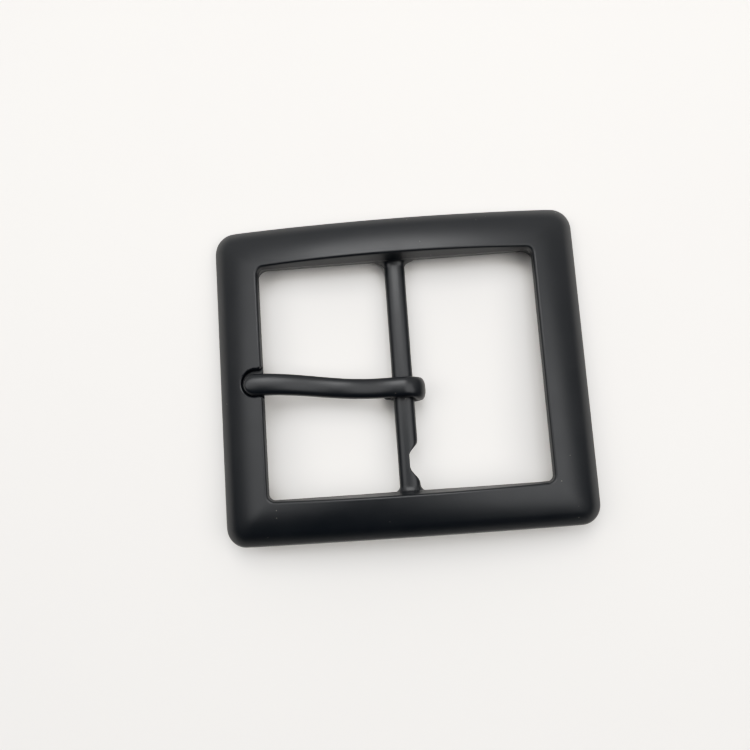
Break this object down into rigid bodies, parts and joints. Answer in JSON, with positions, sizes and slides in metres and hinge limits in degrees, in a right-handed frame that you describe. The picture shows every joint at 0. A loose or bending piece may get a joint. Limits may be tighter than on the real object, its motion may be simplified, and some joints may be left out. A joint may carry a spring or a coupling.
{
  "type": "belt buckle",
  "caption": "Rectangular centre-bar belt buckle with an arched, round-shouldered matte black frame and a loose hooked tongue that rests in a notch in the side rail.",
  "frame": {"origin": "under the middle of the frame, level with the lowest point of the tongue's hook", "axes": "+X along the strap, away from the tongue's tip; +Y along the centre bar, away from the bar's notch; +Z out of the front face"},
  "size_m": [0.0622, 0.0538, 0.0083],
  "materials": {
    "frame_coat": "satin-matte black electrophoretic coat on zinc alloy",
    "tongue_coat": "satin-matte black electrophoretic coat on zinc alloy"
  },
  "bodies": {
    "frame": {"frame": "frame_coat"},
    "tongue": {"tongue": "tongue_coat"}
  },
  "joints": [
    {"name": "tongue_swing", "type": "hinge", "parent": "frame", "child": "tongue", "pos_m": [0, -0.0023, 0.00335], "axis": [0, 1, 0], "range_deg": [0, 159]}
  ]
}
